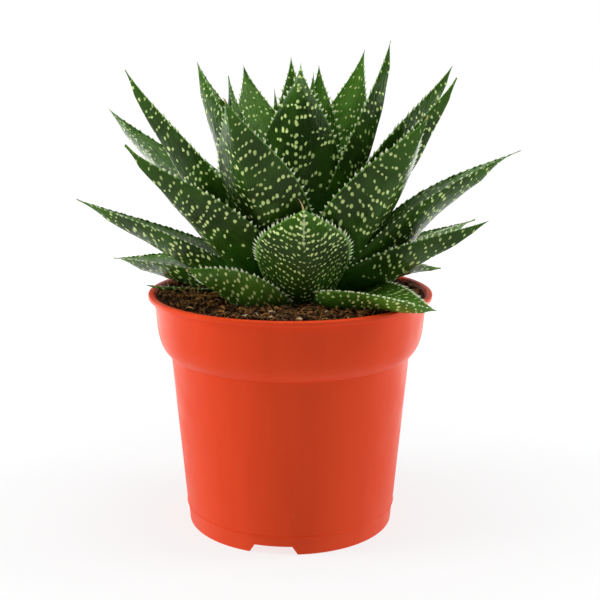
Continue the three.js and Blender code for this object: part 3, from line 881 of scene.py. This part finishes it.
def soil_spot(draw, edge=1.2):
    """A random place on the soil, clear of the stem and of the pot's wall."""
    while True:
        x, y = draw.uniform(-SOIL_RADIUS, SOIL_RADIUS), draw.uniform(-SOIL_RADIUS, SOIL_RADIUS)
        if math.hypot(x, y) < SOIL_RADIUS - edge and math.hypot(x - STEM_X, y) > 11:
            return x, y


def tint_points(piece, shades):
    layer = piece.data.color_attributes.new(name="tint", type="FLOAT_COLOR", domain="POINT")
    layer.data.foreach_set("color", np.array(shades, np.float32).ravel())


def scatter(name, places, sizes, level, skin, draw, tints=None):
    """Rough grains that lie on the soil, joined as one piece."""
    shape, shape_faces = lump(level)
    points, faces, shades = [], [], []
    for i, ((x, y), size) in enumerate(zip(places, sizes)):
        shift = Vector((i * 3.7, 0, 0))
        rough = np.array([1 + 0.38 * noise.noise(Vector(p) * 1.3 + shift) for p in shape])
        stretch = np.array([draw.uniform(0.7, 1.3), draw.uniform(0.7, 1.2), draw.uniform(0.5, 1.0)])
        grain = (shape * rough[:, None] * stretch * size / 2) @ turned(draw).T
        grain[:, 2] *= GRAIN_FLATNESS
        centre = np.array([x, y, soil_top(x, y) + size * 0.22 + draw.uniform(-0.2, 0.5)])
        faces += [tuple(len(points) + corner for corner in face) for face in shape_faces]
        points += list(grain + centre)
        if tints:
            shades += [tints[draw.randrange(len(tints))]] * len(shape)
    piece = make_piece(name, points, faces, [skin], smooth=level > 1)
    if tints:
        tint_points(piece, shades)
    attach(piece, "root")


def strands(name, lines, skin, tints, draw):
    """Thin bent fibres: each line is a list of points and a radius."""
    points, faces, shades = [], [], []
    for line, radius in lines:
        line = np.array(line)
        first = len(points)
        for i, centre in enumerate(line):
            ahead = unit(line[min(i + 1, len(line) - 1)] - line[max(i - 1, 0)])
            side = unit(np.cross(ahead, (0.1, 0.2, 1.0)))
            up = np.cross(side, ahead)
            thin = radius * (0.4 if i in (0, len(line) - 1) else 1.0)
            for k in range(3):
                turn = 2 * math.pi * k / 3
                points.append(centre + side * (thin * math.cos(turn)) + up * (thin * math.sin(turn)))
        last = len(points) - 3
        faces += ring_faces(first, len(line), 3)
        faces += [(first + 2, first + 1, first), (last, last + 1, last + 2)]
        shades += [tints[draw.randrange(len(tints))]] * (len(line) * 3)
    piece = make_piece(name, points, faces, [skin])
    tint_points(piece, shades)
    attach(piece, "root")


def fibre_line(draw, length, steps):
    """A bent line that lies on the soil, with its ends in it."""
    x, y = soil_spot(draw)
    heading = draw.uniform(0, 2 * math.pi)
    bend = draw.uniform(-0.35, 0.35)
    line = []
    hump = draw.uniform(0.4, 2.0)
    for i in range(steps):
        if math.hypot(x, y) > SOIL_RADIUS - 0.8:
            break
        t = i / (steps - 1)
        height = soil_top(x, y) + 0.2 + hump * math.sin(math.pi * t)
        line.append((x, y, height))
        heading += bend + draw.uniform(-0.25, 0.25)
        x += math.cos(heading) * length / steps
        y += math.sin(heading) * length / steps
    return line


GRAIN_FLATNESS = 0.7
CRUMBS = 2600
CLODS = 480
SMALL_PERLITE = 60
SHORT_FIBRES = 1100
LONG_FIBRES = 26
PEAT_TINTS = (
    colour(1.0, 1.0, 1.0), colour(0.6, 0.55, 0.5), colour(1.9, 1.7, 1.4), colour(0.35, 0.33, 0.3),
    colour(2.6, 2.2, 1.5), colour(1.3, 1.1, 0.9),
)
PERLITE_PLACES = (
    (-17, -49), (-13, -44.5), (-7, -40.5), (-1.5, -40.5), (-7.5, -51), (3.5, -53), (-2.5, -33), (14, -40),
)
# Strands of straw: their points, and a radius
STRAW_LINES = (
    ([(-54, 14, 102.5), (-53.2, 10, 101.9), (-52.2, 5, 100.8), (-51, 0, 99.8)], 0.14),
    ([
        (-47.5, -5, 102.6), (-46.2, -5.2, 101.9), (-45, -5.8, 101), (-44.4, -6.6, 100.4),
        (-41.5, -7, 100.5), (-38.2, -7, 100.3), (-36.6, -8, 99.4),
    ], 0.24),
    ([(-38.9, -5, 102.6), (-38.7, -5.8, 101.3), (-38.4, -6.8, 100.3), (-38, -8.6, 99.3)], 0.18),
    ([(-41, -6.9, 100.6), (-41.1, -8, 99.9), (-41.4, -10, 99.2)], 0.2),
    ([(-41.3, -33.2, 100), (-39.6, -34.2, 100.5), (-37.4, -35.2, 99.9)], 0.5),
)
STRAW_TINTS = (colour(1.0, 1.0, 1.0), colour(0.8, 0.7, 0.55))


def dress_soil():
    """Crumbs, clods, perlite, fibres and straw on the soil."""
    draw = random.Random(SEED)
    crumb_skin = tinted_peat("peat_crumbs", colour(0.035, 0.019, 0.008), colour(0.17, 0.09, 0.036))
    fibre_skin = tinted_peat("peat_fibres", colour(0.11, 0.058, 0.022), colour(0.26, 0.15, 0.06))
    straw_skin = tinted_peat("straw", colour(0.34, 0.22, 0.07), colour(0.6, 0.42, 0.16))
    places = [soil_spot(draw) for _ in range(CRUMBS)]
    sizes = [draw.uniform(0.7, 1.9) for _ in places]
    scatter("soil_crumbs", places, sizes, 1, crumb_skin, draw, PEAT_TINTS)
    places = [soil_spot(draw, 3.0) for _ in range(CLODS)]
    sizes = [draw.uniform(1.6, 3.4) for _ in places]
    scatter("soil_clods", places, sizes, 2, crumb_skin, draw, PEAT_TINTS)
    places = list(PERLITE_PLACES) + [soil_spot(draw) for _ in range(SMALL_PERLITE)]
    sizes = [draw.uniform(1.9, 2.7) for _ in PERLITE_PLACES]
    sizes += [draw.uniform(0.6, 1.4) for _ in range(SMALL_PERLITE)]
    scatter("soil_perlite", places, sizes, 2, perlite_skin(), draw)
    lines = []
    for _ in range(SHORT_FIBRES):
        line = fibre_line(draw, draw.uniform(3, 10), 7)
        if len(line) > 3:
            lines.append((line, draw.uniform(0.1, 0.28)))
    for _ in range(LONG_FIBRES):
        line = fibre_line(draw, draw.uniform(14, 28), 12)
        if len(line) > 5:
            lines.append((line, draw.uniform(0.12, 0.2)))
    strands("soil_fibres", lines, fibre_skin, PEAT_TINTS, draw)
    strands("dry_straw", STRAW_LINES, straw_skin, STRAW_TINTS, draw)


def make_stem():
    """The short stem with slanting roots, mostly hidden by leaf bases and soil."""
    profile = [(0, STEM_PROFILE[0][1])] + list(STEM_PROFILE) + [(0, STEM_PROFILE[-1][1])]
    points, faces = lathe(rounded([(r, h, 2.0) for r, h in profile], 3), 48)
    points = [np.array(point, float) for point in points]
    for i in range(ROOTS):
        steep = math.radians(-38 - 9 * (i % 2))
        start = np.array([0, 0, -8 - 5 * (i % 2)], float)
        turn = 2 * math.pi * i / ROOTS
        away = np.array([math.sin(turn), -math.cos(turn), 0])
        heading = away * math.cos(steep) + np.array([0, 0, math.sin(steep)])
        side = unit(np.cross(heading, (0, 0, 1)))
        up = np.cross(side, heading)
        first = len(points)
        for step in range(ROOT_STEPS + 1):
            t = step / ROOT_STEPS
            sag = side * math.sin(t * 5 + i) * 0.8 * t
            centre = start + heading * ROOT_LENGTH * t + sag
            radius = ROOT_RADIUS * (1 - t) + ROOT_TIP_RADIUS * t
            for k in range(ROOT_SIDES):
                angle = 2 * math.pi * k / ROOT_SIDES
                points.append(centre + side * radius * math.cos(angle) + up * radius * math.sin(angle))
        faces += ring_faces(first, ROOT_STEPS + 1, ROOT_SIDES)
        faces.append(tuple(range(len(points) - ROOT_SIDES, len(points))))
    points = np.array(points) + (STEM_X, 0, CROWN_HEIGHT)
    stem = make_piece("stem_bark", points, faces, [stem_skin()])
    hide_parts("stem_and_roots")
    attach(stem, "root")


def add_light(name, place, size, radiance, mirrored):
    """A rectangular softbox that faces the plant."""
    data = bpy.data.lights.new(name, "AREA")
    data.shape = "RECTANGLE"
    data.size, data.size_y = size
    data.energy = radiance * math.pi * size[0] * size[1]
    lamp = bpy.data.objects.new(name, data)
    lamp.location = place
    lamp.rotation_euler = (Vector(LIGHT_TARGET) - Vector(place)).to_track_quat("-Z", "Y").to_euler()
    lamp.visible_glossy = mirrored
    bpy.context.scene.collection.objects.link(lamp)


def set_camera():
    lens = bpy.data.cameras.new("camera")
    lens.lens = CAMERA_LENS
    lens.sensor_width = 36
    lens.shift_x = CAMERA_SHIFT
    lens.clip_end = 100
    camera = bpy.data.objects.new("camera", lens)
    camera.location = CAMERA_PLACE
    camera.rotation_euler = (math.pi / 2 - CAMERA_PITCH, 0, 0)
    bpy.context.scene.collection.objects.link(camera)
    bpy.context.scene.camera = camera


def set_world():
    """A backdrop that is pure white to the camera and dim to the plant."""
    world = bpy.data.worlds.new("studio")
    world.use_nodes = True
    bpy.context.scene.world = world
    tree = world.node_tree
    backdrop = tree.nodes["Background"]
    path = tree.nodes.new("ShaderNodeLightPath")
    level = tree.nodes.new("ShaderNodeMapRange")
    level.inputs[3].default_value = AMBIENT
    level.inputs[4].default_value = 1.0
    tree.links.new(path.outputs["Is Camera Ray"], level.inputs[0])
    tree.links.new(level.outputs[0], backdrop.inputs["Strength"])
    backdrop.inputs["Color"].default_value = (1, 1, 1, 1)


def add_card(name, corners, skin, camera=False, diffuse=False, glossy=False):
    """A stage card that only the named kinds of ray see."""
    card = make_piece(name, corners, [(0, 1, 2, 3)], [skin])
    card.visible_camera = camera
    card.visible_diffuse = diffuse
    card.visible_glossy = glossy


def floor_corners(height):
    size = FLOOR_REACH / MM
    return [(-size, -size, height), (size, -size, height), (size, size, height), (-size, size, height)]


def set_stage():
    """Camera, backdrop and lights, and a white floor and wall in parts, by what sees them."""
    bpy.context.scene.view_settings.view_transform = "Standard"
    set_camera()
    set_world()
    for row in SOFTBOXES:
        add_light(*row)

    # What the camera sees as the floor is brighter than what the floor throws back at the plant.
    add_card("floor", floor_corners(0), floor_skin(), camera=True)
    add_card("bounce_card", floor_corners(-1), glowing_skin("bounce_paper", BOUNCE), diffuse=True)

    # The white floor and wall as the leaves and the pot mirror them.
    near, far, place = -WALL_REACH / MM, WALL_REACH / MM, WALL_PLACE / MM
    corners = [(near, place, 0), (far, place, 0), (far, place, far), (near, place, far)]
    add_card("backdrop_card", corners, glowing_skin("mirrored_wall", MIRRORED_WALL), glossy=True)
    floor = glowing_skin("mirrored_floor", MIRRORED_FRONT, MIRRORED_BACK)
    add_card("mirrored_card", floor_corners(-0.5), floor, glossy=True)


def glowing_skin(name, front, back=None):
    """Paper that only glows. Where a level for the back is given, it climbs to it behind the plant."""
    shader = Shader(name)
    strength = front
    if back is not None:
        depth = shader.add("SeparateXYZ", {0: metres(shader)}).outputs[1]
        strength = shader.step(depth, 0.0, MIRRORED_BACK_START, front, back)
    return shader.finish(
        Base_Color=colour(0, 0, 0), Emission_Color=colour(1, 1, 1), Emission_Strength=strength,
        Specular_IOR_Level=0.0,
    )


def floor_skin():
    """Paper that glows, less near the pot as a painted shadow round its foot, and further out as brightly as
    the backdrop.
    """
    shader = Shader("floor_paper")
    place = metres(shader)
    paper = shader.mix(shader.noise(place, 3.0, 2.0), colour(0.19, 0.2, 0.2), colour(0.21, 0.22, 0.22))
    away = shader.add("VectorMath", {0: place}, operation="LENGTH").outputs["Value"]
    # Painted shadow: the glow is dimmer close to the pot and climbs to full further out.
    glow_with_painted_shadow = shader.step(away, FLOOR_PAINTED_SHADOW_CORE, FLOOR_PAINTED_SHADOW_EDGE, FLOOR_GLOW_IN_PAINTED_SHADOW, 1.0)
    return shader.finish(
        Base_Color=paper, Roughness=0.9, Emission_Color=colour(1, 1, 1), Emission_Strength=glow_with_painted_shadow,
        Specular_IOR_Level=0.0,
    )


set_stage()
teeth = tooth_skin()
awn = awn_skin()
# Upper faces: a lighter green than the under faces, partly the leaf's own colour and partly painted light
# from above.
upper_skin_with_painted_light = leaf_skin("leaf_upper_with_painted_light", SPOTS_INNER, colour(0.038, 0.11, 0.01), colour(0.075, 0.19, 0.02))
outer = leaf_skin("leaf_outer", SPOTS_OUTER, colour(0.014, 0.04, 0.004), colour(0.03, 0.085, 0.006))
keeled = leaf_skin(
    "leaf_outer_keeled", SPOTS_KEELED, colour(0.011, 0.034, 0.003), colour(0.024, 0.07, 0.005),
    keel_spots=True,
)
middle = leaf_skin("leaf_outer_low", SPOTS_MIDDLE, colour(0.044, 0.12, 0.009), colour(0.074, 0.185, 0.015))
fine = leaf_skin(
    "leaf_outer_fine", SPOTS_FINE, colour(0.01, 0.03, 0.003), colour(0.022, 0.06, 0.005),
    pale_line=0.72, dry_tip=0.995, edge=1.7,
)
unders = {
    **{number: fine for number in FINE_SPOTTED}, **{number: middle for number in MIDDLE_SPOTTED},
    **{number: keeled for number in KEEL_SPOTTED},
}
for number, row in enumerate(LEAVES, 1):
    upper = middle if number in SPOTTED_ABOVE else upper_skin_with_painted_light
    make_leaf(number, row, [upper, unders.get(number, outer), teeth, awn], random.Random(SEED + number))
make_pot()
make_soil()
dress_soil()
make_stem()
